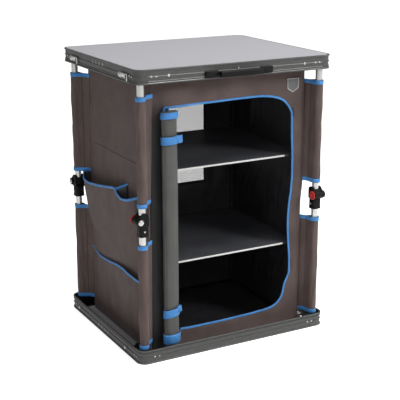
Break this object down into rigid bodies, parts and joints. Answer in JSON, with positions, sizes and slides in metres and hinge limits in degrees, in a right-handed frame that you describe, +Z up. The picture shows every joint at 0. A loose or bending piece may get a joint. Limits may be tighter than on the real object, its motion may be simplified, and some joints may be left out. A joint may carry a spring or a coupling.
{
  "type": "folding camping pantry",
  "caption": "Folding camp pantry: shallow tray below, matching tabletop tray above, jointed tube legs, and between them a shelved fabric cabinet with a rolled-up front door and side pockets.",
  "frame": {"origin": "centre of the bottom tray's underside, where it stands on the ground", "axes": "+Z up, -Y towards the open front, +X to the right of someone facing the front"},
  "size_m": [0.6052, 0.52, 0.8],
  "materials": {
    "panel": "fine grained light grey laminate",
    "rail": "dark grey coated extrusion, satin",
    "black_plastic": "moulded, lightly grained",
    "tube": "clear anodised, drawn along its length",
    "steel": "plated",
    "red_button": "smooth",
    "cabinet_fabric": "close woven, coated inside",
    "dark_fabric": "close woven, rolled",
    "net": "open net",
    "shelf_sheet": "stiffened sheet, slightly shiny"
  },
  "bodies": {
    "base": {"bottom_panel": "panel", "bottom_frame": "rail", "bottom_front_left_hinge_bracket": "black_plastic", "bottom_front_right_hinge_bracket": "black_plastic", "bottom_back_right_hinge_bracket": "black_plastic", "bottom_back_left_hinge_bracket": "black_plastic", "cabinet_shell": "cabinet_fabric", "front_panel": "cabinet_fabric", "mesh_window": "net", "door_roll": "dark_fabric", "lower_pocket": "cabinet_fabric", "upper_pockets": "cabinet_fabric"},
    "front_left_lower_leg": {"front_left_lower_foot": "black_plastic", "front_left_lower_tube": "tube", "front_left_knee_housing": "black_plastic", "front_left_knee_pin": "steel"},
    "front_left_upper_leg": {"front_left_knee_tongue": "black_plastic", "front_left_upper_tube": "tube", "front_left_upper_foot": "black_plastic"},
    "front_left_button": {"front_left_lock_button": "red_button"},
    "front_right_lower_leg": {"front_right_lower_foot": "black_plastic", "front_right_lower_tube": "tube", "front_right_knee_housing": "black_plastic", "front_right_knee_pin": "steel"},
    "front_right_upper_leg": {"front_right_knee_tongue": "black_plastic", "front_right_upper_tube": "tube", "front_right_upper_foot": "black_plastic"},
    "front_right_button": {"front_right_lock_button": "red_button"},
    "back_right_lower_leg": {"back_right_lower_foot": "black_plastic", "back_right_lower_tube": "tube", "back_right_knee_housing": "black_plastic", "back_right_knee_pin": "steel"},
    "back_right_upper_leg": {"back_right_knee_tongue": "black_plastic", "back_right_upper_tube": "tube", "back_right_upper_foot": "black_plastic"},
    "back_right_button": {"back_right_lock_button": "red_button"},
    "back_left_lower_leg": {"back_left_lower_foot": "black_plastic", "back_left_lower_tube": "tube", "back_left_knee_housing": "black_plastic", "back_left_knee_pin": "steel"},
    "back_left_upper_leg": {"back_left_knee_tongue": "black_plastic", "back_left_upper_tube": "tube", "back_left_upper_foot": "black_plastic"},
    "back_left_button": {"back_left_lock_button": "red_button"},
    "top_tray": {"top_panel": "panel", "top_frame": "rail", "top_front_left_hinge_bracket": "black_plastic", "top_front_right_hinge_bracket": "black_plastic", "top_back_right_hinge_bracket": "black_plastic", "top_back_left_hinge_bracket": "black_plastic", "handle_bracket_left": "black_plastic", "handle_bracket_right": "black_plastic"},
    "handle": {"handle_grip": "black_plastic"},
    "latch_left_rear": {"latch_hook_left_rear": "steel"},
    "latch_left_front": {"latch_hook_left_front": "steel"},
    "latch_right_rear": {"latch_hook_right_rear": "steel"},
    "latch_right_front": {"latch_hook_right_front": "steel"},
    "upper_shelf": {"shelf_upper": "shelf_sheet"},
    "lower_shelf": {"shelf_lower": "shelf_sheet"}
  },
  "joints": [
    {"name": "front_left_fold", "type": "hinge", "parent": "base", "child": "front_left_lower_leg", "pos_m": [-0.2745, -0.222, 0.02575], "axis": [0, 1, 0], "range_deg": [0, 90], "deforming": ["cabinet_shell", "front_panel", "mesh_window", "door_roll", "lower_pocket", "upper_pockets"]},
    {"name": "front_right_fold", "type": "hinge", "parent": "base", "child": "front_right_lower_leg", "pos_m": [0.272, -0.2245, 0.02575], "axis": [-1, 0, 0], "range_deg": [0, 90]},
    {"name": "back_right_fold", "type": "hinge", "parent": "base", "child": "back_right_lower_leg", "pos_m": [0.2745, 0.222, 0.02575], "axis": [0, -1, 0], "range_deg": [0, 90]},
    {"name": "back_left_fold", "type": "hinge", "parent": "base", "child": "back_left_lower_leg", "pos_m": [-0.272, 0.2245, 0.02575], "axis": [1, 0, 0], "range_deg": [0, 90]},
    {"name": "front_left_knee", "type": "hinge", "parent": "front_left_lower_leg", "child": "front_left_upper_leg", "pos_m": [-0.2875, -0.222, 0.4], "axis": [0, 1, 0], "range_deg": [-180, 0]},
    {"name": "front_right_knee", "type": "hinge", "parent": "front_right_lower_leg", "child": "front_right_upper_leg", "pos_m": [0.272, -0.2375, 0.4], "axis": [-1, 0, 0], "range_deg": [-180, 0]},
    {"name": "back_right_knee", "type": "hinge", "parent": "back_right_lower_leg", "child": "back_right_upper_leg", "pos_m": [0.2875, 0.222, 0.4], "axis": [0, -1, 0], "range_deg": [-180, 0]},
    {"name": "back_left_knee", "type": "hinge", "parent": "back_left_lower_leg", "child": "back_left_upper_leg", "pos_m": [-0.272, 0.2375, 0.4], "axis": [1, 0, 0], "range_deg": [-180, 0]},
    {"name": "top_tray_fold", "type": "hinge", "parent": "front_left_upper_leg", "child": "top_tray", "pos_m": [-0.2745, -0.222, 0.77425], "axis": [0, 1, 0], "range_deg": [0, 90]},
    {"name": "upper_shelf_drop", "type": "slide", "parent": "base", "child": "upper_shelf", "axis": [0, 0, -1], "range_m": [0, 0.492]},
    {"name": "lower_shelf_drop", "type": "slide", "parent": "base", "child": "lower_shelf", "axis": [0, 0, -1], "range_m": [0, 0.2405]},
    {"name": "front_left_lock_press", "type": "slide", "parent": "front_left_lower_leg", "child": "front_left_button", "axis": [0, -1, 0], "range_m": [0, 0.003], "stiffness_N_per_m": 400},
    {"name": "front_right_lock_press", "type": "slide", "parent": "front_right_lower_leg", "child": "front_right_button", "axis": [1, 0, 0], "range_m": [0, 0.003], "stiffness_N_per_m": 400},
    {"name": "back_right_lock_press", "type": "slide", "parent": "back_right_lower_leg", "child": "back_right_button", "axis": [0, 1, 0], "range_m": [0, 0.003], "stiffness_N_per_m": 400},
    {"name": "back_left_lock_press", "type": "slide", "parent": "back_left_lower_leg", "child": "back_left_button", "axis": [-1, 0, 0], "range_m": [0, 0.003], "stiffness_N_per_m": 400},
    {"name": "latch_left_rear_swing", "type": "hinge", "parent": "top_tray", "child": "latch_left_rear", "pos_m": [-0.3, 0.179, 0.779], "axis": [1, 0, 0], "range_deg": [0, 90]},
    {"name": "latch_left_front_swing", "type": "hinge", "parent": "top_tray", "child": "latch_left_front", "pos_m": [-0.3, -0.153, 0.779], "axis": [1, 0, 0], "range_deg": [0, 90]},
    {"name": "latch_right_rear_swing", "type": "hinge", "parent": "top_tray", "child": "latch_right_rear", "pos_m": [0.3, 0.179, 0.779], "axis": [1, 0, 0], "range_deg": [0, 90]},
    {"name": "latch_right_front_swing", "type": "hinge", "parent": "top_tray", "child": "latch_right_front", "pos_m": [0.3, -0.153, 0.779], "axis": [1, 0, 0], "range_deg": [0, 90]},
    {"name": "handle_lift", "type": "hinge", "parent": "top_tray", "child": "handle", "pos_m": [0, -0.2522, 0.7745], "axis": [-1, 0, 0], "range_deg": [0, 40]}
  ],
  "couplings": [
    {"joint": "front_right_fold", "follows": "front_left_fold", "ratio": 1},
    {"joint": "back_right_fold", "follows": "front_left_fold", "ratio": 1},
    {"joint": "back_left_fold", "follows": "front_left_fold", "ratio": 1},
    {"joint": "front_left_knee", "follows": "front_left_fold", "ratio": -2},
    {"joint": "front_right_knee", "follows": "front_left_fold", "ratio": -2},
    {"joint": "back_right_knee", "follows": "front_left_fold", "ratio": -2},
    {"joint": "back_left_knee", "follows": "front_left_fold", "ratio": -2},
    {"joint": "top_tray_fold", "follows": "front_left_fold", "ratio": 1},
    {"joint": "upper_shelf_drop", "follows": "front_left_fold", "m_per_rad": 0.31321},
    {"joint": "lower_shelf_drop", "follows": "front_left_fold", "m_per_rad": 0.1531}
  ]
}
